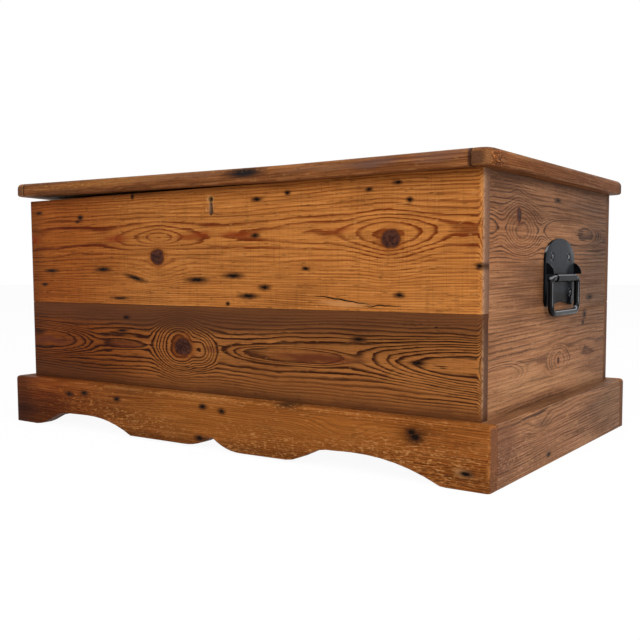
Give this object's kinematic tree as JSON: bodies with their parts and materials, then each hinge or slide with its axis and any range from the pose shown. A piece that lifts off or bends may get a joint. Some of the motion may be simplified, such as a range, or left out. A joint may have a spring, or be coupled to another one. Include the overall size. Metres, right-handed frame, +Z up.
{
  "type": "storage chest",
  "caption": "Low pine blanket chest with a scalloped plinth, hinged nosed lid, box lock and an iron bail handle on each end.",
  "frame": {"origin": "on the floor under the middle of the carcass", "axes": "+X along the length to the chest's left as its owner faces it, -Y out of the front, +Z up"},
  "size_m": [1.004, 0.598, 0.4594],
  "materials": {
    "front_upper_pine": "waxed, satin",
    "front_lower_pine": "waxed, satin",
    "end_pine": "waxed, satin",
    "back_pine": "waxed, dull",
    "plinth_pine": "waxed, satin",
    "lid_pine": "waxed, satin",
    "raw_pine": "bare, dry",
    "black_japan": "black lacquer on pressed steel",
    "old_steel": "dull, aged",
    "old_brass": "tarnished"
  },
  "bodies": {
    "carcass": {"back_board_lower": "back_pine", "back_board_upper": "back_pine", "bottom_board_1": "raw_pine", "bottom_board_2": "raw_pine", "bottom_board_3": "raw_pine", "corner_block_back_left": "raw_pine", "corner_block_back_right": "raw_pine", "corner_block_front_left": "raw_pine", "corner_block_front_right": "raw_pine", "front_board_lower": "front_lower_pine", "front_board_upper": "front_upper_pine", "handle_left_plate": "black_japan", "handle_left_screw_1": "black_japan", "handle_left_screw_2": "black_japan", "handle_left_screw_3": "black_japan", "handle_left_screw_4": "black_japan", "handle_right_plate": "black_japan", "handle_right_screw_1": "black_japan", "handle_right_screw_2": "black_japan", "handle_right_screw_3": "black_japan", "handle_right_screw_4": "black_japan", "hinge_body_screw_1": "old_steel", "hinge_body_screw_2": "old_steel", "hinge_body_screw_3": "old_steel", "hinge_body_screw_4": "old_steel", "hinge_left_body_leaf": "old_steel", "hinge_left_pin": "old_steel", "hinge_right_body_leaf": "old_steel", "hinge_right_pin": "old_steel", "left_end_board_lower": "end_pine", "left_end_board_upper": "end_pine", "lock_case": "old_brass", "lock_screw_1": "old_steel", "lock_screw_2": "old_steel", "lock_screw_3": "old_steel", "lock_screw_4": "old_steel", "plinth_back": "plinth_pine", "plinth_front": "plinth_pine", "plinth_left": "plinth_pine", "plinth_right": "plinth_pine", "right_end_board_lower": "end_pine", "right_end_board_upper": "end_pine"},
    "lid": {"hinge_left_lid_leaf": "old_steel", "hinge_lid_screw_1": "old_steel", "hinge_lid_screw_2": "old_steel", "hinge_lid_screw_3": "old_steel", "hinge_lid_screw_4": "old_steel", "hinge_right_lid_leaf": "old_steel", "lid_board_1": "lid_pine", "lid_board_2": "lid_pine", "lid_board_3": "lid_pine", "lid_link_plate": "old_brass", "lid_strip_front": "lid_pine", "lid_strip_left": "lid_pine", "lid_strip_right": "lid_pine"},
    "left_bail": {"handle_left_bail": "black_japan"},
    "right_bail": {"handle_right_bail": "black_japan"},
    "lock_bolt": {"lock_bolt": "old_steel"}
  },
  "joints": [
    {"name": "lid_hinge", "type": "hinge", "parent": "carcass", "child": "lid", "pos_m": [0, 0.2778, 0.42655], "axis": [-1, 0, 0], "range_deg": [0, 110]},
    {"name": "left_bail_hinge", "type": "hinge", "parent": "carcass", "child": "left_bail", "pos_m": [-0.4873, 0.011, 0.279], "axis": [0, 1, 0], "range_deg": [0, 90]},
    {"name": "right_bail_hinge", "type": "hinge", "parent": "carcass", "child": "right_bail", "pos_m": [0.4873, 0.011, 0.279], "axis": [0, -1, 0], "range_deg": [0, 90]},
    {"name": "lock_bolt_slide", "type": "slide", "parent": "carcass", "child": "lock_bolt", "axis": [-1, 0, 0], "range_m": [0, 0.009]}
  ]
}
